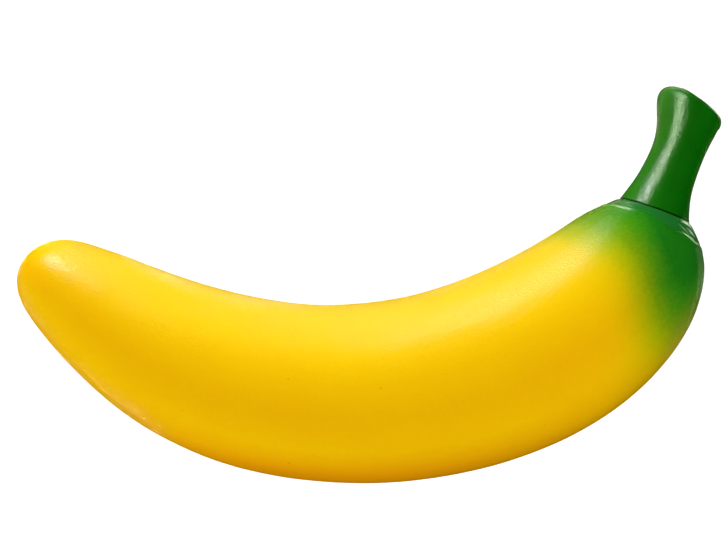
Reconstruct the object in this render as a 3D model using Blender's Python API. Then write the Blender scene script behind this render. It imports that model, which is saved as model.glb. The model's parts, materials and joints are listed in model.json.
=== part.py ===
"""An imitation banana: a moulded body, sprayed yellow and green, with a glossy moulded stem plugged into it.

Both pieces are drawn standing in the plane that the fruit bends in, with the rounded tip at the left, the
belly down and the stem up. They are then laid on their side, turned until the weight is over the low points
that they rest on, with the origin in the middle of the footprint and at the surface. Sizes are in
millimetres at the top and in metres in the scene, with +Z up.
"""

import math

import bmesh
import bpy
import numpy as np
from mathutils import Matrix, Vector
from mathutils.geometry import intersect_point_tri

MM = 0.001

# How finely the skins are divided: sides round them, and millimetres from ring to ring.
SIDES = 44
TIP_TURN = 9
TRUNK_STEP = 5.0
SHOULDER_STEP = 1.2
COLLAR_STEP = 0.45
STEM_STEP = 2.0
CORNER_STEPS = 7
CROWN_STEPS = 4

# The body: distance along its middle line from the tip, the line's direction there in degrees above the
# level, and the radius of the skin.
BODY_STATIONS = (
    (0.0, -43.5, 16.4),
    (10.0, -37.5, 14.5),
    (30.0, -33.0, 17.0),
    (55.0, -20.5, 20.8),
    (85.0, -3.0, 22.6),
    (115.0, 12.5, 23.6),
    (140.0, 26.5, 23.8),
    (160.0, 42.5, 22.4),
    (175.0, 61.0, 19.4),
    (185.0, 69.0, 13.9),
    (189.0, 70.0, 9.8),
)
TIP_ROUNDING = 24.0
LIP_AT = 189.0
LIP_EDGE = 0.3
COLLAR_FROM = 183.2

# The soft ridge round the shoulder, with a crease above it. It leans: it lies nearer the lip inside the bend.
RIDGE_AT = 184.8
RIDGE_LEAN = 1.6
RIDGE_LEAN_FROM = 176.0
RIDGE_HEIGHT = 0.35
RIDGE_HALF_WIDTH = 0.7
CREASE_DEPTH = 0.25
CREASE_HALF_WIDTH = 0.5
CREASE_ABOVE_RIDGE = 1.2

# The joint between the pieces: a plain socket in the collar and a plain spigot under the stem.
SOCKET_RADIUS = 5.5
SOCKET_DEPTH = 12.0
GAP = 0.3

# The stem, measured in the same way from the collar's lip.
STEM_STATIONS = (
    (0.0, 70.0, 9.4),
    (6.0, 68.0, 7.6),
    (12.0, 67.5, 6.8),
    (19.0, 71.0, 6.9),
    (26.0, 76.0, 8.4),
)
FOOT_EDGE = 0.25

# The stem's slanting cut, as an outline that starts from the stem's middle line CUT_FROM above the lip. Each
# corner is (along the stem, across it towards the inside of the bend), and is rounded by a curve between the
# points where its sides begin and end.
CUT_FROM = 25.0
CUT_INNER_START = (1.6, 8.6)
CUT_INNER_CORNER = (7.6, 9.9)
CUT_CROWN = (7.7, -0.3)
CUT_OUTER_CORNER = (1.7, -8.7)
CUT_OUTER_START = (-0.4, -8.2)
CUT_INNER_ROUNDING = 0.56
CUT_OUTER_ROUNDING = 0.16

# How much is taken off the low points, so that each of them is a small flat spot.
FLAT_DEPTH = 0.15

# The green spray starts softly this far along the body, and covers all of it from this far along.
SPRAY_FROM = 160.0
SPRAY_FULL = 184.0

YELLOW = (0.93, 0.55, 0.01, 1.0)
SPRAY_GREEN = (0.01, 0.14, 0.02, 1.0)
STEM_GREEN = (0.003, 0.12, 0.005, 1.0)


def natural_spline(knots, values, at):
    """The smoothest curve through the values: a cubic between each two knots, straight at both ends."""
    knots = np.asarray(knots)
    values = np.asarray(values)
    widths = np.diff(knots)
    slopes = np.diff(values) / widths
    system = np.eye(len(knots))
    bends = np.zeros(len(knots))
    for i in range(1, len(knots) - 1):
        system[i, i - 1 : i + 2] = (widths[i - 1], 2 * (widths[i - 1] + widths[i]), widths[i])
        bends[i] = 6 * (slopes[i] - slopes[i - 1])
    bends = np.linalg.solve(system, bends)
    i = np.clip(np.searchsorted(knots, at) - 1, 0, len(widths) - 1)
    before = at - knots[i]
    after = knots[i + 1] - at
    chord = (values[i] * after + values[i + 1] * before) / widths[i]
    pull = bends[i] * (widths[i] + after) + bends[i + 1] * (widths[i] + before)
    return chord - before * after * pull / (6 * widths[i])


class MiddleLine:
    """A curve in the plane of the bend, drawn by its direction, with the radius of the skin round it."""

    STEP = 0.1

    def __init__(self, stations, start):
        self.along, self.degrees, self.radii = (np.array(column) for column in zip(*stations))
        self.marks = np.arange(0.0, self.along[-1] + 2 * self.STEP, self.STEP)
        heading = np.radians(natural_spline(self.along, self.degrees, self.marks))
        middle = (heading[1:] + heading[:-1]) / 2
        self.x = start.x + np.concatenate([[0.0], np.cumsum(np.cos(middle) * self.STEP)])
        self.y = start.y + np.concatenate([[0.0], np.cumsum(np.sin(middle) * self.STEP)])

    def forward(self, along):
        heading = math.radians(natural_spline(self.along, self.degrees, max(along, 0.0)))
        return Vector((math.cos(heading), math.sin(heading), 0.0))

    def inward(self, along):
        """Square to the line, towards the inside of the bend."""
        forward = self.forward(along)
        return Vector((-forward.y, forward.x, 0.0))

    def point(self, along):
        on_line = max(along, 0.0)
        x = float(np.interp(on_line, self.marks, self.x))
        y = float(np.interp(on_line, self.marks, self.y))
        return Vector((x, y, 0.0)) + self.forward(0.0) * min(along, 0.0)

    def radius(self, along):
        return float(natural_spline(self.along, self.radii, along))


OUT_OF_PLANE = Vector((0.0, 0.0, 1.0))
BODY_LINE = MiddleLine(BODY_STATIONS, Vector((0.0, 0.0, 0.0)))
STEM_LINE = MiddleLine(STEM_STATIONS, BODY_LINE.point(LIP_AT))


def smooth_step(value, low, high):
    t = min(max((value - low) / (high - low), 0.0), 1.0)
    return t * t * (3 - 2 * t)


def bump(distance, half_width):
    return math.exp(-((distance / half_width) ** 2))


def body_radius(along):
    """The skin's radius, with the tip rounded off and the ridge and its crease added."""
    left = 1 - min(along / TIP_ROUNDING, 1.0)
    radius = BODY_LINE.radius(along) * math.sqrt(1 - left * left)
    past = along - RIDGE_AT
    radius += RIDGE_HEIGHT * bump(past, RIDGE_HALF_WIDTH)
    return radius - CREASE_DEPTH * bump(past - CREASE_ABOVE_RIDGE, CREASE_HALF_WIDTH)


def leaned(along, inward):
    """Where a point of the ring at this distance lies: rings near the ridge slide along the body with it."""
    up_to_ridge = smooth_step(along, RIDGE_LEAN_FROM, RIDGE_AT)
    down_to_lip = 1 - smooth_step(along, RIDGE_AT, LIP_AT)
    return along + RIDGE_LEAN * inward * up_to_ridge * down_to_lip


def body_rings():
    """(line, distance along it, radius) of each ring, from the tip over the skin and lip into the socket."""
    tip = [TIP_ROUNDING * (1 - math.cos(math.radians(turn))) for turn in range(TIP_TURN, 90, TIP_TURN)]
    trunk = list(np.arange(TIP_ROUNDING, RIDGE_LEAN_FROM, TRUNK_STEP))
    shoulder = list(np.arange(RIDGE_LEAN_FROM, COLLAR_FROM, SHOULDER_STEP))
    collar = list(np.arange(COLLAR_FROM, LIP_AT - LIP_EDGE, COLLAR_STEP))
    rings = [(BODY_LINE, along, body_radius(along)) for along in tip + trunk + shoulder + collar]
    lip_radius = body_radius(LIP_AT)
    rings += [
        (STEM_LINE, -LIP_EDGE / 4, lip_radius - LIP_EDGE / 4),
        (STEM_LINE, 0.0, lip_radius - LIP_EDGE),
        (STEM_LINE, 0.0, SOCKET_RADIUS),
        (STEM_LINE, -SOCKET_DEPTH, SOCKET_RADIUS),
    ]
    return rings


def body_point(ring, inward, outward):
    """A point of a ring: inward and outward are the cosine and sine of its angle round the body."""
    line, along, radius = ring
    if line is BODY_LINE and along > RIDGE_LEAN_FROM:
        before = line.radius(along)
        along = leaned(along, inward)
        radius += line.radius(along) - before
    across = line.inward(along) * inward + OUT_OF_PLANE * outward
    return line.point(along) + across * radius


def curve_corner(start, corner, end, t):
    """A point of the curve that leaves start towards the corner and reaches end from it."""
    return start * (1 - t) ** 2 + corner * 2 * t * (1 - t) + end * t**2


def cut_rings():
    """(middle, half the ring's length in the plane of the bend, its half width) over the stem's cut."""
    forward = STEM_LINE.forward(CUT_FROM)
    inward = STEM_LINE.inward(CUT_FROM)
    places = (CUT_INNER_START, CUT_INNER_CORNER, CUT_CROWN, CUT_OUTER_CORNER, CUT_OUTER_START)
    inner_start, inner, crown, outer, outer_start = (
        STEM_LINE.point(CUT_FROM) + forward * along + inward * across for along, across in places
    )
    inner_end = inner.lerp(crown, CUT_INNER_ROUNDING)
    outer_end = outer.lerp(crown, CUT_OUTER_ROUNDING)
    pairs = []
    for t in np.linspace(0.0, 1.0, CORNER_STEPS):
        inner_point = curve_corner(inner_start, inner, inner_end, t)
        pairs.append((inner_point, curve_corner(outer_start, outer, outer_end, t)))
    for t in np.linspace(0.0, 0.5, CROWN_STEPS + 1)[1:]:
        inner_point = curve_corner(inner_end, crown, outer_end, t)
        pairs.append((inner_point, curve_corner(inner_end, crown, outer_end, 1 - t)))
    rings = [((a + b) / 2, (a - b) / 2, abs((a - b).dot(inward)) / 2) for a, b in pairs]
    return rings[:-1], rings[-1][0]


def stem_rings():
    """The rings from the spigot's end over the foot and up the stem to the cut, and the cut's middle."""
    foot_radius = STEM_LINE.radius(GAP)
    profile = [
        (GAP - SOCKET_DEPTH, SOCKET_RADIUS - GAP),
        (GAP, SOCKET_RADIUS - GAP),
        (GAP, foot_radius - FOOT_EDGE),
        (GAP + FOOT_EDGE / 4, foot_radius - FOOT_EDGE / 4),
    ]
    sides = np.arange(GAP + FOOT_EDGE, CUT_FROM - STEM_STEP, STEM_STEP)
    profile += [(along, STEM_LINE.radius(along)) for along in sides]
    rings = [(STEM_LINE.point(along), STEM_LINE.inward(along) * radius, radius) for along, radius in profile]
    over_cut, crown = cut_rings()
    return rings + over_cut, crown


def stem_point(ring, inward, outward):
    middle, half_length, half_width = ring
    return middle + half_length * inward + OUT_OF_PLANE * half_width * outward


def closed_skin(rings, place, first_middle, last_middle):
    """A tube with a ring of vertices for each of the rings, closed by a fan of triangles at both ends.

    It starts as a straight tube of radius 1 with its rings at whole heights, and place(ring, x, y) says where
    a vertex at x, y of a ring goes.
    """
    bm = bmesh.new()
    last = len(rings) - 1
    middle = Matrix.Translation((0.0, 0.0, last / 2))
    bmesh.ops.create_cone(
        bm, cap_ends=True, cap_tris=True, segments=SIDES, radius1=1.0, radius2=1.0, depth=last, matrix=middle
    )
    upright = [edge for edge in bm.edges if abs(edge.verts[0].co.z - edge.verts[1].co.z) > 0.5]
    bmesh.ops.subdivide_edges(bm, edges=upright, cuts=last - 1, use_grid_fill=True)
    for vert in bm.verts:
        height = round(vert.co.z)
        if vert.co.xy.length > 0.5:
            vert.co = place(rings[height], vert.co.x, vert.co.y)
        else:
            vert.co = last_middle if height else first_middle
    if bm.calc_volume(signed=True) < 0:
        bmesh.ops.reverse_faces(bm, faces=bm.faces)
    return bm


def body_skin():
    return closed_skin(body_rings(), body_point, BODY_LINE.point(0.0), STEM_LINE.point(-SOCKET_DEPTH))


def stem_skin():
    rings, crown = stem_rings()
    return closed_skin(rings, stem_point, rings[0][0], crown)


def centre_of_weight(skins):
    """The middle of the pieces' volume, from the thin pyramids between the origin and each triangle."""
    volume = 0.0
    moment = Vector((0.0, 0.0, 0.0))
    for bm in skins:
        for corners in bm.calc_loop_triangles():
            a, b, c = (loop.vert.co for loop in corners)
            pyramid = a.dot(b.cross(c)) / 6
            volume += pyramid
            moment += (a + b + c) * (pyramid / 4)
    return moment / volume


def resting_face(skins):
    """The outward normal of the far side's hull face that the weight is over, and lowest over."""
    weight = centre_of_weight(skins)
    hull = bmesh.new()
    for bm in skins:
        for vert in bm.verts:
            hull.verts.new(vert.co)
    bmesh.ops.convex_hull(hull, input=hull.verts)
    bmesh.ops.triangulate(hull, faces=hull.faces)
    hull.normal_update()
    faces = []
    for face in hull.faces:
        normal = face.normal.copy()
        if normal.dot(face.calc_center_median() - weight) < 0:
            normal.negate()
        corners = [vert.co for vert in face.verts]
        if normal.z < -0.5 and intersect_point_tri(weight, *corners):
            faces.append((normal.dot(corners[0] - weight), normal))
    hull.free()
    return min(faces, key=lambda face: face[0])[1]


def lay_down(skins):
    """Turns the pieces onto that face, puts their middle over the origin and flattens the low points."""
    turn = resting_face(skins).rotation_difference(Vector((0.0, 0.0, -1.0))).to_matrix().to_4x4()
    for bm in skins:
        bmesh.ops.transform(bm, matrix=turn, verts=bm.verts)
    corners = np.array([vert.co for bm in skins for vert in bm.verts])
    low, high = corners.min(axis=0), corners.max(axis=0)
    floor = low[2] + FLAT_DEPTH
    to_origin = Vector((-(low[0] + high[0]) / 2, -(low[1] + high[1]) / 2, -floor))
    for bm in skins:
        bmesh.ops.translate(bm, vec=to_origin, verts=bm.verts)
        everything = bm.verts[:] + bm.edges[:] + bm.faces[:]
        cut = bmesh.ops.bisect_plane(
            bm, geom=everything, plane_co=(0.0, 0.0, 0.0), plane_no=(0.0, 0.0, 1.0), clear_inner=True
        )
        edges = [item for item in cut["geom_cut"] if isinstance(item, bmesh.types.BMEdge)]
        bmesh.ops.holes_fill(bm, edges=edges, sides=0)


def plain_material(name, colour, roughness):
    material = bpy.data.materials.new(name)
    material.use_nodes = True
    shader = material.node_tree.nodes["Principled BSDF"]
    shader.inputs["Base Color"].default_value = colour
    shader.inputs["Roughness"].default_value = roughness
    shader.inputs["Metallic"].default_value = 0.0
    return material


def sprayed_material():
    """The body's satin yellow, with the green sprayed over it where the attribute spray is 1."""
    material = plain_material("sprayed_skin", YELLOW, 0.38)
    nodes = material.node_tree.nodes
    links = material.node_tree.links
    spray = nodes.new("ShaderNodeAttribute")
    spray.attribute_name = "spray"
    mix = nodes.new("ShaderNodeMix")
    mix.data_type = "RGBA"
    mix.inputs["A"].default_value = YELLOW
    mix.inputs["B"].default_value = SPRAY_GREEN
    links.new(spray.outputs["Fac"], mix.inputs["Factor"])
    links.new(mix.outputs["Result"], nodes["Principled BSDF"].inputs["Base Color"])
    return material


def mark_spray(bm):
    """Says how much green each point of the body takes, from how near it is to the collar's lip."""
    layer = bm.verts.layers.float.new("spray")
    lip = BODY_LINE.point(LIP_AT)
    for vert in bm.verts:
        away = (vert.co - lip).length
        vert[layer] = 1 - smooth_step(away, LIP_AT - SPRAY_FULL, LIP_AT - SPRAY_FROM)


def add_piece(name, bm, material):
    bmesh.ops.scale(bm, vec=(MM, MM, MM), verts=bm.verts)
    mesh = bpy.data.meshes.new(name)
    bm.to_mesh(mesh)
    bm.free()
    mesh.materials.append(material)
    mesh.shade_smooth()
    mesh.set_sharp_from_angle(angle=math.radians(40.0))
    piece = bpy.data.objects.new(name, mesh)
    bpy.context.scene.collection.objects.link(piece)


def main():
    for obj in list(bpy.data.objects):
        bpy.data.objects.remove(obj)
    body = body_skin()
    mark_spray(body)
    stem = stem_skin()
    lay_down([body, stem])
    add_piece("body", body, sprayed_material())
    add_piece("stem", stem, plain_material("glossy_green", STEM_GREEN, 0.2))


main()
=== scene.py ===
# %% [markdown]
# # An imitation banana, lying on a white table
# The real object is made of two moulded plastic pieces: a fat yellow body, sprayed green round one end, and a
# glossy green stem that is plugged into it. This notebook loads the packed model, which holds both pieces as
# plain solids, and makes a fine skin, a finish, light and a camera for them. Loading comes first, because
# everything else is placed by that model.

import json
import math

import bmesh
import bpy
import numpy as np
from mathutils import Matrix, Vector, noise

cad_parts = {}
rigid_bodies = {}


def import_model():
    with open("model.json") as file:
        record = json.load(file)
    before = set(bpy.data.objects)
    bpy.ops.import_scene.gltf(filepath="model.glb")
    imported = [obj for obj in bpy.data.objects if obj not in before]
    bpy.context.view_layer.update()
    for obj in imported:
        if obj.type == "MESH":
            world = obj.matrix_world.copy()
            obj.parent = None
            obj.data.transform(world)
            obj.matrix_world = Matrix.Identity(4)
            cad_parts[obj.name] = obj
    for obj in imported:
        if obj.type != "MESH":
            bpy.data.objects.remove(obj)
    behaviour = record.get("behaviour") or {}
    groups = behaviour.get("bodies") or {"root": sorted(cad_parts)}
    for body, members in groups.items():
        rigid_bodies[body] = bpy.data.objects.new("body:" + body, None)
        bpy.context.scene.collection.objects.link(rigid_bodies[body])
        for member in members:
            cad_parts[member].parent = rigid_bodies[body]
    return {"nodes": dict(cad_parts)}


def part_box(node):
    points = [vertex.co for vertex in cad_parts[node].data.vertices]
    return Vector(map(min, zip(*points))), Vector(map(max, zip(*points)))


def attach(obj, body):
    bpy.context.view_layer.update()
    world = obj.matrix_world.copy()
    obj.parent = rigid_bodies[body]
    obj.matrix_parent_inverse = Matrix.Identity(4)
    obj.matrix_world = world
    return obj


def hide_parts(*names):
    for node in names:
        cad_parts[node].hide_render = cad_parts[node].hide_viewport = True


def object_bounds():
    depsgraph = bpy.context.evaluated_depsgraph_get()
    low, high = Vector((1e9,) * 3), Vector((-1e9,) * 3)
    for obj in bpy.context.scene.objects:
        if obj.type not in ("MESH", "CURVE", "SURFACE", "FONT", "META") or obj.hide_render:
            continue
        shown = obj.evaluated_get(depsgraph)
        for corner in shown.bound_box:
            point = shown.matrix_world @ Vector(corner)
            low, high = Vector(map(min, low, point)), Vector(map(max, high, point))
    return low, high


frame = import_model()
scene = bpy.context.scene
cad_bounds = [list(corner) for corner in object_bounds()]
print("nodes:", sorted(frame["nodes"]), "box in metres:", cad_bounds)

# %% [markdown]
# ## The curve through the fruit
# A banana is a tube on a bent middle line. The line could be a Blender curve with a bevel, but such a curve
# can't put a soft ridge, a flat lip and a socket on the tube. So the line is described by its direction and
# radius at a few stations, with a smooth curve through them, and the skin is then placed round it by rule.
# The numbers are those that the solids were made from, in millimetres and degrees.

# %% The stations of both pieces
MM = 0.001

# (distance along the line, direction of the line, radius of the piece)
BODY_STATIONS = (
    (0.0, -43.5, 16.4),
    (10.0, -37.5, 14.5),
    (30.0, -33.0, 17.0),
    (55.0, -20.5, 20.8),
    (85.0, -3.0, 22.6),
    (115.0, 12.5, 23.6),
    (140.0, 26.5, 23.8),
    (160.0, 42.5, 22.4),
    (175.0, 61.0, 19.4),
    (185.0, 69.0, 13.9),
    (189.0, 70.0, 9.8),
)
STEM_STATIONS = (
    (0.0, 70.0, 9.4),
    (6.0, 68.0, 7.6),
    (12.0, 67.5, 6.8),
    (19.0, 71.0, 6.9),
    (26.0, 76.0, 8.4),
)
LIP_AT = BODY_STATIONS[-1][0]


def natural_spline(knots, values, at):
    """The smoothest curve through the values: a cubic between each two knots, straight at both ends."""
    knots = np.asarray(knots)
    values = np.asarray(values)
    widths = np.diff(knots)
    slopes = np.diff(values) / widths
    system = np.eye(len(knots))
    bends = np.zeros(len(knots))
    for i in range(1, len(knots) - 1):
        system[i, i - 1 : i + 2] = (widths[i - 1], 2 * (widths[i - 1] + widths[i]), widths[i])
        bends[i] = 6 * (slopes[i] - slopes[i - 1])
    bends = np.linalg.solve(system, bends)
    i = np.clip(np.searchsorted(knots, at) - 1, 0, len(widths) - 1)
    before = at - knots[i]
    after = knots[i + 1] - at
    chord = (values[i] * after + values[i + 1] * before) / widths[i]
    pull = bends[i] * (widths[i] + after) + bends[i + 1] * (widths[i] + before)
    return chord - before * after * pull / (6 * widths[i])


class MiddleLine:
    """A curve in the plane of the bend. All its answers are for many distances along it at once."""

    STEP = 0.1

    def __init__(self, stations, start):
        self.along, self.degrees, self.radii = (np.array(column) for column in zip(*stations))
        self.marks = np.arange(0.0, self.along[-1] + 2 * self.STEP, self.STEP)
        heading = self.heading(self.marks)
        middle = (heading[1:] + heading[:-1]) / 2
        self.x = start[0] + np.concatenate([[0.0], np.cumsum(np.cos(middle) * self.STEP)])
        self.y = start[1] + np.concatenate([[0.0], np.cumsum(np.sin(middle) * self.STEP)])

    def heading(self, along):
        return np.radians(natural_spline(self.along, self.degrees, np.maximum(along, 0.0)))

    def inward(self, along):
        """Square to the line, towards the inside of the bend."""
        heading = self.heading(along)
        return np.stack([-np.sin(heading), np.cos(heading), 0 * heading], axis=-1)

    def point(self, along):
        """Where the line is. A distance below zero lies on the straight line back from its start."""
        on_line = np.maximum(along, 0.0)
        beyond = np.minimum(along, 0.0)
        heading = self.heading(along)
        x = np.interp(on_line, self.marks, self.x) + beyond * np.cos(heading)
        y = np.interp(on_line, self.marks, self.y) + beyond * np.sin(heading)
        return np.stack([x, y, 0 * x], axis=-1)

    def radius(self, along):
        return natural_spline(self.along, self.radii, along)


BODY_LINE = MiddleLine(BODY_STATIONS, (0.0, 0.0))
STEM_LINE = MiddleLine(STEM_STATIONS, BODY_LINE.point(np.array(LIP_AT))[:2])
stem_top = STEM_LINE.point(np.array(STEM_STATIONS[-1][0]))
print("middle lines end at", BODY_LINE.point(np.array(LIP_AT)).round(1), stem_top.round(1))

# %% [markdown]
# ## One operator makes every skin
# Both pieces are tubes with closed ends. `create_cone` gives a plain upright tube with a fan of triangles over
# each end, and `subdivide_edges` on its upright edges cuts it into as many rings as are needed. Each vertex
# then knows its ring by its height and its turn by its direction, and moves to its place on the piece. The
# other way is to spin or extrude ring after ring, but one straight tube keeps the rule for a point in one
# place, and its faces are even squares that shade well.

# %% Make a tube, and move its vertices
OUT_OF_PLANE = np.array([0.0, 0.0, 1.0])


def straight_tube(sides, rings):
    """A closed tube of radius 1 along Z, with its rings at the whole heights from 0 to rings - 1."""
    bm = bmesh.new()
    last = rings - 1
    middle = Matrix.Translation((0.0, 0.0, last / 2))
    bmesh.ops.create_cone(
        bm, cap_ends=True, cap_tris=True, segments=sides, radius1=1.0, radius2=1.0, depth=last, matrix=middle
    )
    upright = [edge for edge in bm.edges if abs(edge.verts[0].co.z - edge.verts[1].co.z) > 0.5]
    bmesh.ops.subdivide_edges(bm, edges=upright, cuts=last - 1, use_grid_fill=True)
    print("a tube of", sides, "sides and", rings, "rings:", len(bm.verts), "vertices")
    return bm


def read_tube(bm):
    """(ring, turn in radians, True where the vertex is the middle of an end) for the tube's vertices."""
    corners = np.array([vert.co for vert in bm.verts])
    ring = np.rint(corners[:, 2]).astype(int)
    turn = np.arctan2(corners[:, 1], corners[:, 0])
    return ring, turn, np.hypot(corners[:, 0], corners[:, 1]) < 0.5


def round_the_line(inward, turn):
    """The direction from a middle line to the skin, at each turn from the inside of the bend."""
    return inward * np.cos(turn)[:, None] + OUT_OF_PLANE * np.sin(turn)[:, None]


def move_verts(bm, places):
    """Puts each vertex in its place, and turns the faces outwards."""
    for vert, place in zip(bm.verts, places):
        vert.co = place
    if bm.calc_volume(signed=True) < 0:
        bmesh.ops.reverse_faces(bm, faces=bm.faces)


def add_layer(bm, name, values):
    """Keeps a number for each vertex, which a material reads as an attribute."""
    layer = bm.verts.layers.float.new(name)
    for vert, value in zip(bm.verts, values):
        vert[layer] = value


# %% [markdown]
# ## Bumps that wrap round the body
# All the fine shapes below are sums of smooth bumps, which fade to nothing on both sides. They could be
# sculpted by hand, but a bump with a name, a place and a width can be read, changed and moved. One kind is
# placed by its turn round the body in degrees and so has to wrap round, and the other by a distance.

# %% Bumps and steps
def peak(turn, at, half_width):
    """A smooth bump round a turn in degrees, which wraps round the body."""
    away = (np.degrees(turn) - at + 180.0) % 360.0 - 180.0
    return np.exp(-((away / half_width) ** 2))


def bump(distance, half_width):
    return np.exp(-((distance / half_width) ** 2))


def smooth_step(value, low, high):
    t = np.clip((value - low) / (high - low), 0.0, 1.0)
    return t * t * (3 - 2 * t)


print("a bump at its half width:", round(float(bump(1.0, 1.0)), 3))

# %% [markdown]
# ## The ridge and the folds round the collar
# Where the body narrows to the collar the moulding has a soft ridge with a crease above it. The ridge leans
# towards the lip on the inside of the bend, and it fades in three places. On the outside of the bend it is
# joined by a second fold that comes down from the lip, with a crease of its own. Each follows a path round the
# body, and its height is a bump across that path. The shoulder could be modelled by hand, ring by ring, but the
# paths are easier to compare with the real thing.

# %% The relief near the collar
# Paths round the body: (turn in degrees from the inside of the bend, distance along the body).
RIDGE_PATH = (
    (0.0, 186.0),
    (42.0, 186.0),
    (60.0, 186.1),
    (70.0, 186.5),
    (80.0, 186.1),
    (92.0, 185.4),
    (101.0, 184.9),
    (122.0, 185.2),
    (138.0, 184.4),
    (180.0, 184.0),
    (250.0, 184.6),
    (310.0, 185.6),
    (360.0, 186.0),
)
FOLD_PATH = ((108.0, 188.8), (119.0, 188.2), (141.0, 188.0), (147.0, 186.6), (162.0, 184.9), (180.0, 184.1))
FOLD_CREASE_PATH = (
    (108.0, 188.4),
    (121.0, 187.4),
    (129.0, 186.6),
    (137.0, 185.6),
    (160.0, 184.9),
    (180.0, 184.6),
)
RIDGE_HEIGHT = 0.3
RIDGE_HALF_WIDTH = 0.42
CREASE_DEPTH = 0.22
CREASE_HALF_WIDTH = 0.3
CREASE_ABOVE_RIDGE = 0.8
FOLD_HEIGHT = 0.26
# Where the ridge and its crease fade: (turn in degrees, half width of the faded part, share that is lost).
RIDGE_FADES = ((89.0, 13.0, 0.85), (0.0, 16.0, 0.6), (182.0, 24.0, 0.85))
CREASE_FADES = ((89.0, 13.0, 0.5), (0.0, 16.0, 0.5), (182.0, 24.0, 0.85))
# The small knot where the ridge bends: its turn in degrees, its half width in degrees, and then millimetres.
KNOT_TURN = 67.0
KNOT_HALF_TURN = 2.2
KNOT_HEIGHT = 0.16
KNOT_ABOVE_RIDGE = 0.2
KNOT_HALF_WIDTH = 0.4
FOLD_STARTS = (110.0, 122.0)
FOLD_ENDS = (148.0, 168.0)


def beyond_path(along, turn, path):
    """How far each point lies beyond a path round the body, towards the lip."""
    return along - np.interp(np.degrees(turn) % 360.0, *zip(*path))


def what_is_left(turn, fades):
    return 1.0 - sum(share * peak(turn, at, half_width) for at, half_width, share in fades)


def collar_relief(along, turn):
    """How far the skin stands out or in near the collar."""
    past = beyond_path(along, turn, RIDGE_PATH)
    height = RIDGE_HEIGHT * what_is_left(turn, RIDGE_FADES) * bump(past, RIDGE_HALF_WIDTH)
    creased = what_is_left(turn, CREASE_FADES)
    height -= CREASE_DEPTH * creased * bump(past - CREASE_ABOVE_RIDGE, CREASE_HALF_WIDTH)
    knot = peak(turn, KNOT_TURN, KNOT_HALF_TURN) * bump(past - KNOT_ABOVE_RIDGE, KNOT_HALF_WIDTH)
    fold = FOLD_HEIGHT * bump(beyond_path(along, turn, FOLD_PATH), RIDGE_HALF_WIDTH)
    fold -= CREASE_DEPTH * bump(beyond_path(along, turn, FOLD_CREASE_PATH), CREASE_HALF_WIDTH)
    degrees = np.degrees(turn) % 360.0
    on_fold = smooth_step(degrees, *FOLD_STARTS) * (1 - smooth_step(degrees, *FOLD_ENDS))
    return height + KNOT_HEIGHT * knot + on_fold * fold


print("the ridge runs from", min(at for _, at in RIDGE_PATH), "to", max(at for _, at in RIDGE_PATH), "mm")

# %% [markdown]
# ## A moulding is never quite even
# The skin of the real piece has very shallow waves, and fine wrinkles close to the ridge, which make the edge
# of each reflection wander. A Displace modifier with a noise texture could do it, but the same noise read
# here can be strong at the ridge and fade out at the tip.

# %% Shallow waves
# (height, size of one wave)
WIDE_WAVES = (0.11, 16.0)
NARROW_WAVES = (0.035, 6.0)
WRINKLES = (0.045, 1.9)
WRINKLED_AT = 184.0
WRINKLED_HALF_WIDTH = 4.0
TOO_WEAK_TO_SHOW = 0.02


def waves_at(point, waves):
    height, size = waves
    return height * noise.noise(Vector(point) / size)


def unevenness(points, along):
    """Very shallow waves all over the moulding, and finer wrinkles near the ridge."""
    heights = []
    for point, wrinkled in zip(points, bump(along - WRINKLED_AT, WRINKLED_HALF_WIDTH)):
        fine = waves_at(point, WRINKLES) if wrinkled > TOO_WEAK_TO_SHOW else 0.0
        heights.append(waves_at(point, WIDE_WAVES) + waves_at(point, NARROW_WAVES) + wrinkled * fine)
    return np.array(heights)


print("waves up to", WIDE_WAVES[0] + NARROW_WAVES[0] + WRINKLES[0], "mm high")

# %% [markdown]
# ## Where the body's rings lie
# The rings lie closest together where the shape is finest: over the ridge and round the lip. The tip's rings
# are spaced by turn, so that the rounded end has no flat in its middle. The lip turns over into a plain
# socket, which the stem's spigot stands in. Even rings with a Subdivision Surface modifier would need more
# faces for the same ridge, and would round off the lip.

# %% Rings of the body
# In millimetres, but for the tip's step, which is in degrees.
SIDES = 288
TIP_ROUNDING = 24.0
TIP_TURN_STEP = 3
SHOULDER_FROM = 176.0
COLLAR_FROM = 181.5
TRUNK_STEP = 1.5
SHOULDER_STEP = 0.5
COLLAR_STEP = 0.12
LIP_EDGE = 0.3
LIP_STEPS = 6
SOCKET_RADIUS = 5.5
SOCKET_DEPTH = 12.0

tip = [TIP_ROUNDING * (1 - math.cos(math.radians(turn))) for turn in range(TIP_TURN_STEP, 90, TIP_TURN_STEP)]
trunk = list(np.arange(TIP_ROUNDING, SHOULDER_FROM, TRUNK_STEP))
shoulder = list(np.arange(SHOULDER_FROM, COLLAR_FROM, SHOULDER_STEP))
collar = list(np.arange(COLLAR_FROM, LIP_AT - LIP_EDGE, COLLAR_STEP))
skin_along = np.array(tip + trunk + shoulder + collar)

lip_radius = float(BODY_LINE.radius(np.array(LIP_AT)))
over_lip = np.radians(np.linspace(0.0, 90.0, LIP_STEPS + 1)[1:])
lip_along = np.concatenate([LIP_EDGE * (np.sin(over_lip) - 1), [0.0, 0.0, -SOCKET_DEPTH]])
lip_radii = np.concatenate([
    lip_radius - LIP_EDGE * (1 - np.cos(over_lip)),
    [(lip_radius + SOCKET_RADIUS) / 2, SOCKET_RADIUS, SOCKET_RADIUS],
])
print("rings: tip", len(tip), "trunk", len(trunk), "shoulder", len(shoulder), "collar", len(collar))

# %% [markdown]
# ## The body's skin
# Each vertex of the tube goes to its ring's place on the middle line, and out from there by the radius and the
# relief. The relief fades out just before the lip, so that the stem's seam stays even, and near the tip's
# middle, where the rings are too small for it. The body still lies in the plane that it bends in, as drawn.

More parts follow.
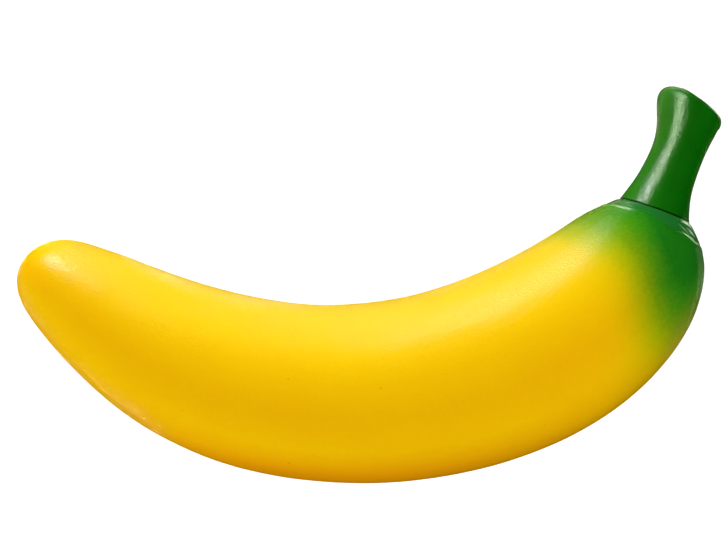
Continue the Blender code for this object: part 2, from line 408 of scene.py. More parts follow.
# %% Body skin
RELIEF_ENDS_BELOW_LIP = 1.2
CALM_RADIUS = 8.0

body_mesh = straight_tube(SIDES, len(skin_along) + len(lip_along))
ring, turn, is_end = read_tube(body_mesh)
on_skin = ring < len(skin_along)
along = np.where(on_skin, np.append(skin_along, 0 * lip_along)[ring], LIP_AT)
from_lip = np.append(0 * skin_along, lip_along)[ring]

left = 1 - np.minimum(along / TIP_ROUNDING, 1.0)
radius = BODY_LINE.radius(along) * np.sqrt(1 - left * left)
radius = np.where(on_skin, radius, np.append(0 * skin_along, lip_radii)[ring])
across = round_the_line(np.where(on_skin[:, None], BODY_LINE.inward(along), STEM_LINE.inward(from_lip)), turn)
middle = np.where(on_skin[:, None], BODY_LINE.point(along), STEM_LINE.point(from_lip))
smooth_places = middle + across * radius[:, None]

soft_fade = 1 - smooth_step(along, LIP_AT - RELIEF_ENDS_BELOW_LIP, LIP_AT - LIP_EDGE)
waves = unevenness(smooth_places, along) * np.minimum(radius / CALM_RADIUS, 1.0)
radius = radius + np.where(on_skin, (collar_relief(along, turn) + waves) * soft_fade, 0.0)
places = middle + across * radius[:, None]
places[is_end & (ring == 0)] = BODY_LINE.point(np.array(0.0))
places[is_end & (ring > 0)] = STEM_LINE.point(np.array(-SOCKET_DEPTH))
move_verts(body_mesh, places)
print("body:", len(body_mesh.verts), "vertices,", round(body_mesh.calc_volume() / 1000, 1), "cubic centimetres")

# %% [markdown]
# ## Where the paint goes
# The spray gun left the green with a soft edge that runs slantwise round the body: it reaches furthest down on
# the outside of the bend. Beyond the ridge the collar lies in its own shade, and that shade is painted in as a
# deeper, bluer green. The shadow in the seam round the stem is painted almost black. Each vertex keeps how much
# it has of each, how far round the body it is and how far along, and the materials read these. A picture could
# hold this too, but numbers on the mesh need no unwrapping.

# %% Spray and painted shade for each vertex of the body
# Where the coat of green is about a quarter of its full depth, and how gradual the fade is there:
# (turn in degrees from the inside of the bend, distance along the body, width of the fade).
SPRAY_EDGE = (
    (0.0, 177.0, 1.9),
    (22.0, 175.6, 1.6),
    (38.0, 175.5, 1.35),
    (67.0, 175.3, 1.05),
    (82.0, 173.5, 1.0),
    (98.0, 169.5, 1.0),
    (112.0, 166.3, 0.9),
    (128.0, 164.9, 0.95),
    (142.0, 165.8, 1.05),
    (158.0, 168.7, 1.25),
    (180.0, 171.0, 1.5),
)
# The coat starts softly and then grows evenly: this far below the edge, over this length, at this rate.
COAT_STARTS_BELOW = 2.8
COAT_SOFTNESS = 3.6
COAT_RATE = 1.044
FULL_COAT = 4.4
# The collar's painted shade beyond the ridge: how deep it is, and where it fades in past the ridge.
COLLAR_SHADE_SHARE = 0.75
COLLAR_SHADE_BEYOND_RIDGE = (0.2, 1.6)

folded_turn = np.abs((np.degrees(turn) + 180.0) % 360.0 - 180.0)
edge_turn, edge_along, edge_width = zip(*SPRAY_EDGE)
past_edge = along - np.interp(folded_turn, edge_turn, edge_along)
past_edge = past_edge / np.interp(folded_turn, edge_turn, edge_width)
coat = COAT_RATE * np.log1p(np.exp((past_edge + COAT_STARTS_BELOW) / COAT_SOFTNESS)) / FULL_COAT
# Painted shade on the collar beyond the ridge.
hollow = COLLAR_SHADE_SHARE * smooth_step(beyond_path(along, turn, RIDGE_PATH), *COLLAR_SHADE_BEYOND_RIDGE)
add_layer(body_mesh, "spray", np.where(on_skin, np.minimum(coat, 1.0), 1.0))
add_layer(body_mesh, "round", folded_turn / 180.0)
add_layer(body_mesh, "along", along / LIP_AT)
add_layer(body_mesh, "hollow", np.where(on_skin, hollow, COLLAR_SHADE_SHARE))
# Painted shadow: the lip's flat ring and the socket, down in the gap round the stem.
add_layer(body_mesh, "seam", np.where(ring >= len(skin_along) + LIP_STEPS, 1.0, 0.0))
print("green lies on", round(100 * float((coat > 0.25).mean())), "percent of the body's vertices")

# %% [markdown]
# ## The stem's slanting top
# The stem's top flares to a slanting cut with one high rounded corner. The cut is an outline in the plane of
# the bend: up the wall, over the rim by a curve and then over a low crown to the middle. Cutting a tube with
# `bisect_plane` and bevelling it would give the same rounding all round, but the real rim is rounder at its
# two corners than at its sides.

# %% From the wall over the rim to the crown
# Places near the cut are (how far up from CUT_FROM, how far towards the inside of the bend). Each ring has its
# inner place, its outer place and its half width out of the plane.
CUT_FROM = 25.0
CUT_START = ((1.6, 8.6), (-0.4, -8.2), 8.4)
CUT_CORNER = ((7.6, 9.9), (1.7, -8.7), 9.0)
CUT_CROWN = (7.4, -0.3)
# How far the rounding reaches down the wall and over the cut, as a share of each: at the sides, and what the
# inner and the outer corner add to it.
DOWN_THE_WALL = (0.18, 0.67, 0.8)
OVER_THE_CUT = (0.12, 0.44, 0.04)
# Where the rounding of each corner begins and where it is full, as the cosine of the turn from that corner.
INNER_CORNER = (-0.1, 1.0)
OUTER_CORNER = (0.3, 1.0)

cut_at = np.array(CUT_FROM)
heading = float(STEM_LINE.heading(cut_at))
forward = np.array([math.cos(heading), math.sin(heading), 0.0])
cut_inward = STEM_LINE.inward(cut_at)


def curve_corner(start, corner, end, t):
    """A point of the curve that leaves start towards the corner and reaches end from it."""
    return start * (1 - t) ** 2 + corner * 2 * t * (1 - t) + end * t**2


def near_cut(up, side, out=0.0):
    """The place this far up, to the side and out of the plane from where the cut begins."""
    place = STEM_LINE.point(cut_at) + np.multiply.outer(up, forward) + np.multiply.outer(side, cut_inward)
    return place + np.multiply.outer(out, OUT_OF_PLANE)


def slanting_ring(inner, outer, width, turn):
    """A ring through two points of the bend's plane, and so wide out of that plane."""
    middle, half = (np.add(inner, outer) / 2, np.subtract(inner, outer) / 2)
    up, side = (middle[i] + half[i] * np.cos(turn) for i in (0, 1))
    return near_cut(up, side, width * np.sin(turn))


def share_of_rounding(shares, turn):
    at_sides, at_inner, at_outer = shares
    inner = smooth_step(np.cos(turn), *INNER_CORNER)
    outer = smooth_step(-np.cos(turn), *OUTER_CORNER)
    return (at_sides + at_inner * inner + at_outer * outer)[:, None]


def over_cut(step, turn):
    """The stem's top: step 0 to 1 up the wall, 1 to 2 over the rim and 2 to 3 over the crown."""
    step = step[:, None]
    crown = near_cut(*CUT_CROWN)
    start, corner = (slanting_ring(*ring, turn) for ring in (CUT_START, CUT_CORNER))
    rim_start = corner + (start - corner) * share_of_rounding(DOWN_THE_WALL, turn)
    rim_end = corner + (crown - corner) * share_of_rounding(OVER_THE_CUT, turn)
    wall = start + (rim_start - start) * step
    rim = curve_corner(rim_start, corner, rim_end, np.clip(step - 1, 0.0, 1.0))

    at_sides, at_inner = OVER_THE_CUT[:2]
    opposite = slanting_ring(*CUT_CORNER, turn + math.pi)
    far_share = (at_sides + at_inner * smooth_step(-np.cos(turn), *INNER_CORNER))[:, None]
    far_end = opposite + (crown - opposite) * far_share
    corners = slanting_ring(*CUT_CORNER, np.array([0.0, math.pi]))
    corners = corners + (crown - corners) * np.array([[at_sides + at_inner], [at_sides]])
    top = corners.mean(axis=0) / 2 + crown / 2
    t = np.clip((step - 2) / 2, 0.0, 0.5)
    arch = curve_corner(rim_end, crown, far_end, t)
    arch = arch + (top - curve_corner(rim_end, crown, far_end, 0.5)) * (2 * t) ** 2
    return np.where(step <= 1, wall, np.where(step <= 2, rim, arch)), top


print("the cut's inner corner stands", round(CUT_CORNER[0][0] - CUT_CORNER[1][0], 1), "mm above the outer one")

# %% [markdown]
# ## The stem's skin
# The stem has a spigot that nobody sees, a concave foot that ends inside the collar's lip, with a dark gap
# round it, and a narrow waist. It is one tube like the body, so the same helpers make it: rings up the spigot
# and the wall first, and then the rings over the cut. It could be turned with `spin`, but its line is bent and
# its top isn't round.

# %% Stem skin
STEM_SIDES = 192
GAP = 0.3
FOOT_EDGE = 0.25
FOOT_RINGS = 5
WALL_FROM = GAP + 1.5 * FOOT_EDGE
WALL_STEP = 0.4
WALL_RINGS = 3
RIM_RINGS = 24
CROWN_RINGS = 16

spigot_radius = SOCKET_RADIUS - GAP
foot_radius = float(STEM_LINE.radius(np.array(GAP)))
spigot = [(GAP - SOCKET_DEPTH, spigot_radius), (GAP, spigot_radius)]
foot = [
    (GAP + FOOT_EDGE * (1 - math.cos(t)), foot_radius - FOOT_EDGE * (1 - math.sin(t)))
    for t in np.radians(np.linspace(0.0, 90.0, FOOT_RINGS))
]
wall_along = np.arange(WALL_FROM, CUT_FROM, WALL_STEP)
wall = [(distance, float(STEM_LINE.radius(distance))) for distance in wall_along]
profile = spigot + foot + wall
profile_along, profile_radius = (np.array(column) for column in zip(*profile))
steps = np.concatenate([
    np.linspace(0.0, 1.0, WALL_RINGS + 1),
    np.linspace(1.0, 2.0, RIM_RINGS + 1)[1:],
    np.linspace(2.0, 3.0, CROWN_RINGS + 1)[1:-1],
])

stem_mesh = straight_tube(STEM_SIDES, len(profile) + len(steps))
stem_ring, stem_turn, stem_end = read_tube(stem_mesh)
on_wall = stem_ring < len(profile)
at = np.where(on_wall, np.append(profile_along, 0 * steps)[stem_ring], 0.0)
wall_radius = np.append(profile_radius, 0 * steps)[stem_ring][:, None]
wall_places = STEM_LINE.point(at) + round_the_line(STEM_LINE.inward(at), stem_turn) * wall_radius
cut_places, cut_top = over_cut(np.append(0 * profile_along, steps)[stem_ring], stem_turn)
stem_places = np.where(on_wall[:, None], wall_places, cut_places)
stem_places[stem_end & (stem_ring == 0)] = STEM_LINE.point(profile_along[0])
stem_places[stem_end & (stem_ring > 0)] = cut_top
move_verts(stem_mesh, stem_places)
add_layer(stem_mesh, "round", np.abs(stem_turn) / math.pi)
# Painted shadow: the spigot, down in the socket.
add_layer(stem_mesh, "seam", np.where(stem_ring < len(spigot), 1.0, 0.0))
print("stem:", len(stem_mesh.verts), "vertices,", round(stem_mesh.calc_volume() / 1000, 2), "cubic centimetres")

# %% [markdown]
# ## Lay both pieces down where the packed model has them
# The packed pieces lie on their side, rolled until the weight is over the low points. The plane that the fruit
# bends in is then tilted a little from the table. The packed stem is the same on both sides of that plane and
# has no flat spots, so the direction in which its points spread out least like the others, the one nearest to
# straight up, is square to the plane. The drawn pieces are turned by that and moved until their box agrees.
# The low points are then pressed flat, as on the packed body.

# %% Measure the tilt, and place the pieces
FLAT_DEPTH = 0.15
STRAIGHT_UP = Vector((0.0, 0.0, 1.0))

stem_corners = np.unique([vert.co.to_tuple(7) for vert in frame["nodes"]["stem"].data.vertices], axis=0)
spread = np.cov((stem_corners - stem_corners.mean(axis=0)).T)
directions = np.linalg.eigh(spread)[1].T
plane_normal = max(directions, key=lambda direction: abs(direction[2]))
plane_normal = Vector(plane_normal * np.sign(plane_normal[2])).normalized()
turn_down = STRAIGHT_UP.rotation_difference(plane_normal).to_matrix()
print("tilt of the bend's plane:", round(math.degrees(plane_normal.angle(STRAIGHT_UP)), 2), "degrees")

for bm in (body_mesh, stem_mesh):
    bmesh.ops.transform(bm, matrix=turn_down.to_4x4(), verts=bm.verts)
corners = np.array([vert.co for bm in (body_mesh, stem_mesh) for vert in bm.verts])
low, high = corners.min(axis=0), corners.max(axis=0)
low[2] += FLAT_DEPTH
cad_low, cad_high = (np.array(corner) / MM for corner in cad_bounds)
stretch = (cad_high - cad_low) / (high - low)
shift = cad_low - low * stretch
print("drawn box to packed box, scale:", stretch.round(5), "move in mm:", shift.round(3))

for bm in (body_mesh, stem_mesh):
    for vert in bm.verts:
        place = np.array(vert.co) * stretch + shift
        place[2] = max(place[2], 0.0)
        vert.co = place * MM

# %% [markdown]
# ## Helpers that join nodes
# A material is a small net of nodes, which most people join by hand in the Shader Editor. A script needs a line
# for each node and each join, so this class shortens both: every call adds one node, sets or joins its inputs
# and hands back its output for the next call.

# %% Small helpers for materials
class Nodes:
    """A material's nodes, added and joined in one call each."""

    def __init__(self, name):
        self.material = bpy.data.materials.new(name)
        self.material.use_nodes = True
        self.tree = self.material.node_tree
        self.shader = self.tree.nodes["Principled BSDF"]

    def add(self, kind, settings=None, **inputs):
        """Adds a node. Its inputs are given by name, with _ for a space, or by number, as in i0."""
        node = self.tree.nodes.new(kind)
        for key, value in (settings or {}).items():
            setattr(node, key, value)
        for key, value in inputs.items():
            self.set(node, key.replace("_", " "), value)
        return node

    def set(self, node, key, value):
        socket = node.inputs[int(key[1:])] if key[0] == "i" and key[1:].isdigit() else node.inputs[key]
        if isinstance(value, bpy.types.NodeSocket):
            self.tree.links.new(value, socket)
        else:
            socket.default_value = value

    def shade(self, **inputs):
        """Sets or joins the inputs of the material's own shader."""
        for key, value in inputs.items():
            self.set(self.shader, key.replace("_", " "), value)

    def place(self):
        return self.add("ShaderNodeTexCoord").outputs["Object"]

    def attribute(self, name):
        return self.add("ShaderNodeAttribute", {"attribute_name": name}).outputs["Fac"]

    def maths(self, operation, a, b=0.0, c=0.0):
        return self.add("ShaderNodeMath", {"operation": operation}, i0=a, i1=b, i2=c).outputs[0]

    def noise(self, scale, detail, roughness, vector=None):
        node = self.add("ShaderNodeTexNoise", Scale=scale, Detail=detail, Roughness=roughness)
        self.set(node, "Vector", vector if vector is not None else self.place())
        return node.outputs["Fac"]

    def ramp(self, factor, stops):
        """A colour ramp from (position, colour) pairs; a colour may be one grey number."""
        node = self.add("ShaderNodeValToRGB", Fac=factor)
        elements = node.color_ramp.elements
        while len(elements) < len(stops):
            elements.new(0.5)
        for element, (position, colour) in zip(elements, stops):
            element.position = position
            element.color = (*colour, 1.0) if isinstance(colour, tuple) else (colour, colour, colour, 1.0)
        return node.outputs["Color"]

    def mix(self, factor, a, b, blend="MIX"):
        node = self.add("ShaderNodeMix", {"data_type": "RGBA", "blend_type": blend})
        for key, value in (("Factor", factor), ("A", a), ("B", b)):
            socket = next(socket for socket in node.inputs if socket.name == key and socket.enabled)
            if isinstance(value, bpy.types.NodeSocket):
                self.tree.links.new(value, socket)
            else:
                socket.default_value = (*value, 1.0) if isinstance(value, tuple) else value
        return next(socket for socket in node.outputs if socket.enabled)

    def relief(self, height, distance, under=None):
        node = self.add("ShaderNodeBump", Height=height, Distance=distance, Strength=1.0)
        if under is not None:
            self.set(node, "Normal", under)
        return node.outputs["Normal"]


print("helpers for materials:", [name for name in vars(Nodes) if not name.startswith("_")])

# %% [markdown]
# ## Yellow paint, with painted shade
# The yellow is a satin paint over the moulding. It is a clear, light yellow on the inside of the bend. Painted
# shade makes it warmer in a band along the side and on the outside, and brownest on the outside in the middle
# of the length, where the shade falls. The real paint is also a little patchy. One flat colour would look like a
# toy drawing, and a painted picture would need unwrapping, so three colours are mixed by how far round and along
# the body a place is, and two soft noises shift the mix.

# %% The yellow, from clear to deep, with its painted shade
YELLOW = (0.93, 0.585, 0.0012)
# The warm and the deep yellow are painted shade.
SHADE_WARM_YELLOW = (0.90, 0.44, 0.001)
SHADE_DEEP_YELLOW = (0.84, 0.33, 0.001)
# (share of the way round from the inside of the bend, or of the way along from the tip; amount of painted shade)
WARM_SHADE_ROUND = ((0.30, 0.0), (0.56, 0.75), (0.70, 0.45), (1.0, 0.9))
DEEP_SHADE_ROUND = ((0.70, 0.0), (0.84, 1.0))
DEEP_SHADE_ALONG = ((0.2, 0.0), (0.4, 1.0), (0.6, 0.9), (0.78, 0.0))
PATCHES = 0.6
MOTTLE = 0.5

body_paint = Nodes("sprayed_skin")
mottle = body_paint.noise(scale=38.0, detail=3.0, roughness=0.55)
patches = body_paint.noise(scale=14.0, detail=2.0, roughness=0.5)
# Painted shade: warmer in a band along the side and on the outside, with the paint's own patches and mottle
# added.
warm_shade_and_patches = body_paint.ramp(body_paint.attribute("round"), WARM_SHADE_ROUND)
warm_shade_and_patches = body_paint.maths("MULTIPLY_ADD", patches, PATCHES, warm_shade_and_patches)
warm_shade_and_patches = body_paint.maths("MULTIPLY_ADD", mottle, MOTTLE, warm_shade_and_patches)
warm_shade_and_patches = body_paint.maths("SUBTRACT", warm_shade_and_patches, (PATCHES + MOTTLE) / 2)
yellow = body_paint.mix(warm_shade_and_patches, YELLOW, SHADE_WARM_YELLOW)
# Painted shade: deep yellow on the outside of the bend, in the middle of the length.
low_side_shade = body_paint.ramp(body_paint.attribute("round"), DEEP_SHADE_ROUND)
middle_shade = body_paint.ramp(body_paint.attribute("along"), DEEP_SHADE_ALONG)
yellow = body_paint.mix(body_paint.maths("MULTIPLY", low_side_shade, middle_shade), yellow, SHADE_DEEP_YELLOW)
print("yellow paint:", len(body_paint.tree.nodes), "nodes so far")

# %% [markdown]
# ## Green sprayed over it
# On the real thing the green is a thin coat over the same surface, which fades in through a yellow-green mist
# of fine drops. Mixing the two colours by the amount of spray gives a muddy olive in between, because a thin
# coat filters the light that the yellow sends back. So a ramp gives what the coat lets through, and the yellow is
# multiplied by it. Its blue is above 1, as the yellow has almost no blue of its own and the green does. Two
# noises shift the edge, one for the drops and one for the drift of the spray gun. The collar's painted shade
# beyond the ridge, a few dark specks and the seam's painted shadow are laid over that.

# %% The green coat, the collar's painted shade, the specks and the seam's painted shadow
# What the coat lets through: (amount of spray, share of the yellow's red, green and blue)
COAT_FILTER = (
    (0.0, (1.0, 1.0, 1.0)),
    (0.05, (0.81, 0.95, 1.0)),
    (0.15, (0.51, 0.83, 1.2)),
    (0.27, (0.31, 0.70, 1.8)),
    (0.40, (0.17, 0.57, 2.6)),
    (0.60, (0.07, 0.46, 3.6)),
    (0.78, (0.032, 0.39, 4.4)),
    (1.0, (0.010, 0.31, 5.0)),
)
LEAST_SPRAY = 0.55
DROPS = 0.5
DRIFT = 0.4
# The deeper green is painted shade on the collar, the black is painted shadow in the seam, and the brown specks
# are the paint's own.
COLLAR_SHADE_GREEN = (0.012, 0.13, 0.022)
SPECK_BROWN = (0.25, 0.12, 0.002)
SEAM_SHADOW_BLACK = (0.004, 0.01, 0.003)
# (distance from a speck's middle, as a share of the distance between specks; amount)
SPECK_EDGE = ((0.018, 0.35), (0.035, 0.0))
SPECKS_PER_METRE = 100.0

mist = body_paint.noise(scale=1100.0, detail=2.0, roughness=0.6)
drift = body_paint.noise(scale=45.0, detail=3.0, roughness=0.55)
patchy = body_paint.maths("MULTIPLY_ADD", mist, DROPS, LEAST_SPRAY)
patchy = body_paint.maths("MULTIPLY_ADD", drift, DRIFT, patchy)
covered = body_paint.maths("MULTIPLY", patchy, body_paint.attribute("spray"))
colour = body_paint.mix(1.0, yellow, body_paint.ramp(covered, COAT_FILTER), "MULTIPLY")
# Painted shade on the collar beyond the ridge.
colour = body_paint.mix(body_paint.attribute("hollow"), colour, COLLAR_SHADE_GREEN)
specks = body_paint.add(
    "ShaderNodeTexVoronoi", {"feature": "F1"}, Scale=SPECKS_PER_METRE, Vector=body_paint.place()
)
is_speck = body_paint.ramp(specks.outputs["Distance"], SPECK_EDGE)
colour = body_paint.mix(is_speck, colour, SPECK_BROWN)
# Painted shadow in the seam round the stem.
colour = body_paint.mix(body_paint.attribute("seam"), colour, SEAM_SHADOW_BLACK)
print("with the green:", len(body_paint.tree.nodes), "nodes")

# %% [markdown]
# ## Grain and gloss
# The moulding is faintly pebbled, which breaks up the light's reflection into fine grains. The grains are a
# tenth of a millimetre high at most, so they are left to two Bump nodes: as geometry they would need millions of
# faces, and a stronger bump would spread the reflection out. The green was sprayed with a glossier paint: it
# has a clear coat with a tight reflection, and under that the surface itself reflects less than the yellow's.

# %% The finish of the body
# Bumps: (grains per metre, height in metres)
DIMPLES = (1500.0, 0.00008)
GRAIN = (2700.0, 0.00009)
# (amount of spray, strength)
CLEAR_COAT = ((0.1, 0.0), (0.6, 0.7))
SURFACE_GLOSS = ((0.1, 0.45), (0.6, 0.1))

normal = None
for per_metre, height in (DIMPLES, GRAIN):
    bumps = body_paint.noise(scale=per_metre, detail=1.0, roughness=0.5)
    normal = body_paint.relief(bumps, height, under=normal)
body_paint.shade(
    Base_Color=colour,
    Normal=normal,
    Roughness=0.24,
    Specular_IOR_Level=body_paint.ramp(covered, SURFACE_GLOSS),
    Coat_Weight=body_paint.ramp(covered, CLEAR_COAT),
    Coat_Roughness=0.16,
)
print(body_paint.material.name, "has", len(body_paint.tree.nodes), "nodes")

# %% [markdown]
# ## Glossy green for the stem
# The stem is moulded in dark green and is much shinier. Its colour is painted lighter and yellower on the inside
# of the bend, where the light falls, and a little on the outside: this is painted light. Fine marks run round it,
# and they feather the edges of the light's long reflection. Their noise is stretched by a Mapping node to be
# short along the stem and long round it. Real grooves would do the same, but they are far too fine to model. The
# spigot, down in the socket, is painted black as shadow.

# %% The stem's material
# The stem's direction in degrees from +X, and the marks' size in metres: along the stem, round it and into it.
STEM_LEAN = 68.0
MARK_LENGTHS = (1 / 2500.0, 1 / 1300.0, 1 / 1300.0)
MARK_HEIGHT = 0.00016
DARK_GREEN = (0.0004, 0.085, 0.0006)
PLAIN_GREEN = (0.003, 0.12, 0.002)
# The lighter green is painted light, on the side that the light falls on.
LIT_SIDE_GREEN = (0.022, 0.18, 0.007)
# Painted shadow on the spigot, down in the socket.
STEM_SEAM_SHADOW_BLACK = (0.002, 0.005, 0.002)
# (share of the way round from the inside of the bend, amount of painted light)
LIT_SIDE_ROUND = ((0.15, 1.0), (0.5, 0.15), (0.74, 0.0), (0.88, 0.55))

stem_gloss = Nodes("glossy_green")
stem_place = stem_gloss.add(
    "ShaderNodeMapping",
    {"vector_type": "TEXTURE"},
    Vector=stem_gloss.place(),
    Rotation=(0.0, 0.0, math.radians(STEM_LEAN)),
    Scale=MARK_LENGTHS,
)
marks = stem_gloss.noise(scale=1.0, detail=2.0, roughness=0.6, vector=stem_place.outputs["Vector"])
clouds = stem_gloss.noise(scale=160.0, detail=3.0, roughness=0.5)
stem_colour = stem_gloss.mix(clouds, DARK_GREEN, PLAIN_GREEN)
# Painted light: lighter and yellower on the inside of the bend and a little on the outside.
painted_lit_side = stem_gloss.ramp(stem_gloss.attribute("round"), LIT_SIDE_ROUND)
stem_colour = stem_gloss.mix(painted_lit_side, stem_colour, LIT_SIDE_GREEN)
# Painted shadow on the spigot.
stem_colour = stem_gloss.mix(stem_gloss.attribute("seam"), stem_colour, STEM_SEAM_SHADOW_BLACK)
stem_gloss.shade(
    Base_Color=stem_colour,
    Normal=stem_gloss.relief(marks, MARK_HEIGHT),
    Roughness=0.17,
    Specular_IOR_Level=0.5,
)
print(stem_gloss.material.name, "has", len(stem_gloss.tree.nodes), "nodes")

# %% [markdown]
# ## The pieces join the frame
# Each skin becomes an object at the origin with its place in its mesh. It replaces the packed solid of the
# same name and rides on the one body there is. The faces are shaded smooth, and only an edge of more than 50
# degrees, such as the socket's, stays sharp. Smoothing by hand-marked edges would do the same with more lines.

# %% Add the pieces
SHARP_FROM = 50.0


def add_piece(name, bm, material, node):
    mesh = bpy.data.meshes.new(name)
    bm.to_mesh(mesh)
    bm.free()
    mesh.materials.append(material)
    mesh.shade_smooth()
    mesh.set_sharp_from_angle(angle=math.radians(SHARP_FROM))
    piece = bpy.data.objects.new(name, mesh)
    scene.collection.objects.link(piece)
    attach(piece, "root")
    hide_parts(node)
    print(name, sum(len(face.vertices) - 2 for face in mesh.polygons), "triangles")
    return piece


body_piece = add_piece("banana_body", body_mesh, body_paint.material, "body")
stem_piece = add_piece("banana_stem", stem_mesh, stem_gloss.material, "stem")

# %% [markdown]
# ## The table
# The fruit lies on a plain white surface that shows neither a shadow nor a colour of the fruit. A real table
# does both, and throws light back up. So the floor is kept out of gloss, soft light and shadow, only the camera
# sees it, and its own light casts no shadow. That way it stays a plain floor under the fruit from every side,
# and the light on the fruit comes from the lights alone.

# %% Floor
FLOOR_HALF_SIZE = 1.5
FLOOR_WHITE = (0.9, 0.9, 0.9, 1.0)

floor_mesh = bmesh.new()
bmesh.ops.create_grid(floor_mesh, x_segments=1, y_segments=1, size=FLOOR_HALF_SIZE)
floor_data = bpy.data.meshes.new("floor")
floor_mesh.to_mesh(floor_data)
floor_mesh.free()
floor_paint = Nodes("pale_table")
floor_paint.shade(Base_Color=FLOOR_WHITE, Roughness=0.9, Specular_IOR_Level=0.0)
floor_data.materials.append(floor_paint.material)
floor = bpy.data.objects.new("floor", floor_data)
scene.collection.objects.link(floor)
floor.visible_glossy = False
floor.visible_shadow = False
floor.visible_diffuse = False
print("floor:", 2 * FLOOR_HALF_SIZE, "metres wide")

# %% [markdown]
# ## The camera
# It looks square onto the plane of the bend, from about 42 centimetres, so it leans back from straight down by
# the same angle that the fruit lies tilted. The place and the lens come from the size of the object in the
# frame and from how the collar and the stem's cut look from there. A camera that points at the middle of the
# fruit would be simpler, but then the plane of the bend would be seen aslant.

# %% Camera
# In millimetres from the body's tip, before the fruit is laid down.
CAMERA_PLACE = Vector((85.37, -4.49, 421.45))
LENS = 81.85

camera = bpy.data.objects.new("camera", bpy.data.cameras.new("camera"))
scene.collection.objects.link(camera)
camera.matrix_world = Matrix.Translation((turn_down @ CAMERA_PLACE + Vector(shift)) * MM) @ turn_down.to_4x4()
camera.data.lens = LENS
camera.data.sensor_width = 36.0
camera.data.clip_start = 0.01
scene.camera = camera
print("camera at", [round(value, 4) for value in camera.matrix_world.translation])

# %% [markdown]
# ## How a light is placed
# In a studio, wide white panels stand all round such a piece, and their reflections draw the sheen on it. A
# panel that is set for its reflection also brightens the paint, and the other way round. A photographer
# lives with that, but in Blender a light can be hidden from gloss or from paint, so each light here does one of
# the two. Its way is given as the camera sees it: a heading in the picture and an angle off the camera's axis.
# Past 90 degrees off the axis a light stands behind the fruit and shows only along its outline.
# Blender samples lights in two ways at once, and mixing them lets a hidden light shine through a little. So
# that mixing is off, except for the light on the fold and the strips, which have to draw fine lines crisply.

# %% Helpers for lights
WHITE = (1.0, 1.0, 1.0)
LIT_MIDDLE = Vector((0.0, 0.0, 0.02))


def seen_at(heading, off_axis):
    """The direction at this heading in degrees from the top of the picture, and so far off the camera's axis."""
    heading, off_axis = math.radians(heading), math.radians(off_axis)
    return math.sin(off_axis) * math.sin(heading), math.sin(off_axis) * math.cos(heading), math.cos(off_axis)


def soft_light(name, way, distance, size, watts, glossy, tint=WHITE, crisp=False):
    """An oblong light at this distance from the fruit and facing it, which lights gloss alone or paint alone."""
    data = bpy.data.lights.new(name, "AREA")
    data.shape = "RECTANGLE"
    data.size, data.size_y = size
    data.energy = watts
    data.color = tint
    data.cycles.use_multiple_importance_sampling = crisp
    light = bpy.data.objects.new(name, data)
    scene.collection.objects.link(light)
    away = (turn_down @ Vector(way)).normalized()
    light.location = LIT_MIDDLE + away * distance
    light.rotation_euler = away.to_track_quat("Z", "Y").to_euler()
    light.visible_diffuse = not glossy
    light.visible_glossy = glossy
    light.visible_camera = False
    return light


print("straight up in the picture, behind the fruit:", [round(part, 2) for part in seen_at(0.0, 135.0)])

# %% [markdown]
# ## Lights for the sheen
# Two small lights above the fruit draw the hot spot on the tip and the sheen along the top. All the others
# stand behind it and draw the bright edges round its outline, and the glints on the ridge and the folds. The
# ones that light an edge of yellow are tinted yellow, and those on the green are tinted green, because the
# bright edges of the real piece keep some of its colour, while the shader's own gloss is white.

# %% Sheen
SUNNY = (1.0, 1.0, 0.5)
LEAFY = (0.83, 1.0, 0.66)
# (name, heading, angle off the axis, distance, size, watts, tint, crisp)
SHEEN_LIGHTS = (
    ("top_panel", -12.0, 95.0, 0.5, (0.16, 0.32), 0.27, WHITE, False),
    ("top_right_high", 12.0, 130.0, 1.0, (0.3, 0.4), 0.45, SUNNY, False),
    ("top_left", -30.5, 73.0, 0.6, (0.12, 0.13), 1.5, WHITE, False),
    ("top_back", -14.0, 140.0, 1.0, (0.5, 0.45), 0.26, SUNNY, False),
    ("top_edge", -5.0, 164.0, 1.0, (0.6, 0.4), 0.5, SUNNY, False),
    ("left_back", -68.0, 153.0, 1.0, (0.6, 0.3), 0.6, SUNNY, False),
    ("low_left_edge", -111.0, 132.0, 1.0, (0.9, 1.0), 1.15, SUNNY, False),
    ("low_right_edge", 102.0, 130.0, 1.0, (0.4, 0.6), 0.16, SUNNY, False),
    ("right_edge", 88.0, 144.0, 1.0, (0.28, 0.28), 0.22, LEAFY, False),
    ("right_fold", 62.0, 136.0, 1.0, (0.2, 0.2), 0.45, LEAFY, True),
    ("left_ridge", 22.0, 140.0, 1.0, (0.25, 0.25), 1.0, LEAFY, False),
)
for name, heading, off_axis, distance, size, watts, tint, crisp in SHEEN_LIGHTS:
    soft_light(name, seen_at(heading, off_axis), distance, size, watts, glossy=True, tint=tint, crisp=crisp)
print(len(SHEEN_LIGHTS), "lights for the sheen")

# %% [markdown]
# ## The streak on the stem
# The streak is the reflection of one long strip. It runs down the whole stem and bends with it, so the strip
# has to follow a curve in the air. A curved light doesn't exist, but a chain of four flat ones, end to end, a
# metre from the stem, does the same.

# %% Strip lights
# (heading, angle off the axis)
STRIP_WAY = ((-124.0, 45.0), (-100.0, 53.0), (-76.0, 48.0), (-48.0, 51.0), (-28.0, 70.0))
STRIP_WIDTH = 0.14
STRIP_WATTS = 4.9


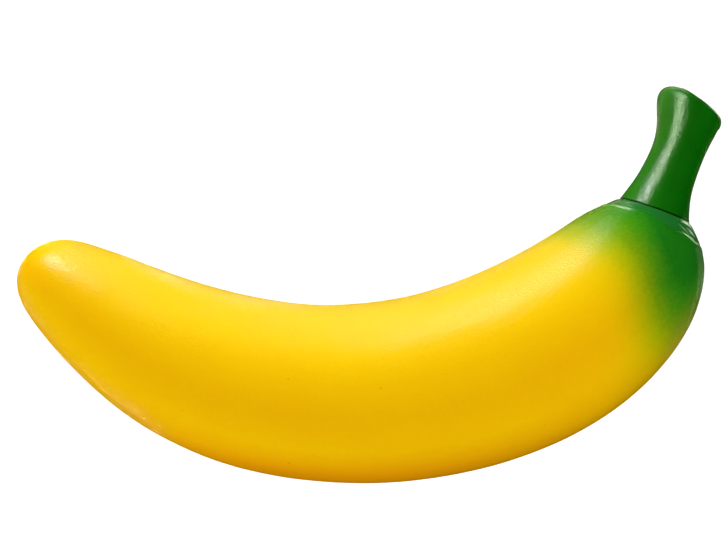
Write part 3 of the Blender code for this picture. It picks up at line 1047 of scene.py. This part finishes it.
def strip_light(name, start, end, middle):
    """A long thin light from one direction to another, both as the camera sees them, a metre from middle."""
    start, end = (middle + turn_down @ Vector(seen_at(*way)) for way in (start, end))
    size = (STRIP_WIDTH, (end - start).length)
    light = soft_light(name, STRAIGHT_UP, 1.0, size, STRIP_WATTS, glossy=True, tint=LEAFY, crisp=True)
    light.location = (start + end) / 2
    away = (light.location - middle).normalized()
    length = (end - start).normalized()
    side = length.cross(away).normalized()
    light.rotation_euler = Matrix((side, length, side.cross(length))).transposed().to_euler()
    return light


stem_middle = (Vector(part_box("stem")[0]) + Vector(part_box("stem")[1])) / 2
strips = [strip_light("stem_strip", start, end, stem_middle) for start, end in zip(STRIP_WAY, STRIP_WAY[1:])]
print(len(strips), "strips, together", round(sum(light.data.size_y for light in strips), 2), "metres long")

# %% [markdown]
# ## Lights for the paint
# The paint is lit from nearly all sides by wide soft lights, strongest from the front and from above, so that
# its shade side stays bright and warm. A single light with a bright world would be simpler, but then the low
# side and the high side couldn't be set apart. The table has its own wide light, which casts no shadow.

# %% Fill lights
FILL_DISTANCE = 1.3
# (name, heading, angle off the axis, size, watts)
FILL_LIGHTS = (
    ("key", -8.0, 86.0, (1.2, 0.9), 15.4),
    ("key_back", -8.0, 118.0, (1.2, 0.9), 6.6),
    ("front_fill", -30.0, 12.0, (1.6, 1.2), 16.3),
    ("low_fill", 180.0, 70.0, (1.0, 0.9), 5.3),
    ("low_left_fill", -132.0, 108.0, (0.9, 0.8), 9.3),
    ("low_right_fill", 132.0, 88.0, (0.9, 0.8), 5.3),
    ("left_fill", -90.0, 96.0, (1.0, 0.8), 6.2),
    ("right_fill", 78.0, 80.0, (1.0, 0.8), 4.0),
)
TABLE_LIGHT_WAY = (0.0, 0.2, 1.0)
TABLE_LIGHT_DISTANCE = 1.5
TABLE_LIGHT_SIZE = (8.0, 8.0)
TABLE_LIGHT_WATTS = 330.0

fills = [
    soft_light(name, seen_at(heading, off_axis), FILL_DISTANCE, size, watts, glossy=False)
    for name, heading, off_axis, size, watts in FILL_LIGHTS
]
table_light = soft_light(
    "table_light", TABLE_LIGHT_WAY, TABLE_LIGHT_DISTANCE, TABLE_LIGHT_SIZE, TABLE_LIGHT_WATTS, glossy=False
)
table_light.data.use_shadow = False
print(len(fills), "fill lights, together", round(sum(light.data.energy for light in fills), 1), "watts")

# %% [markdown]
# ## Who is lit by what
# Light linking gives a light a collection of the objects that it lights. The strips light the stem alone, or
# they would draw a second streak on the body. The fills light the fruit alone, and the table's light only the
# table, so the white of the one doesn't change with the yellow of the other.

# %% Link the lights
for lights, receivers in ((strips, [stem_piece]), (fills, [body_piece, stem_piece]), ([table_light], [floor])):
    lit = bpy.data.collections.new("lit_by_" + lights[0].name)
    for receiver in receivers:
        lit.objects.link(receiver)
    for light in lights:
        light.light_linking.receiver_collection = lit
    print(lit.name, "lights", [receiver.name for receiver in receivers])

# %% [markdown]
# ## A white world that lights nothing
# Past the table's edge the background is plain white too, so a low view shows no horizon. A white world would
# also light the fruit from all sides and take the depth out of it, so it is hidden from gloss and from paint,
# and its light isn't sampled.

# %% World
world = bpy.data.worlds.new("studio")
world.use_nodes = True
background = world.node_tree.nodes["Background"]
background.inputs["Color"].default_value = (*WHITE, 1.0)
background.inputs["Strength"].default_value = 1.0
world.cycles_visibility.glossy = False
world.cycles_visibility.diffuse = False
world.cycles.sampling_method = "NONE"
scene.world = world
scene.view_settings.view_transform = "Standard"
print("world:", world.name, "colours shown as:", scene.view_settings.view_transform)

# %% [markdown]
# ## End
# The skins were fitted to the packed model's box when they were laid down. The box of what is shown
# must not be larger than the packed model's box.
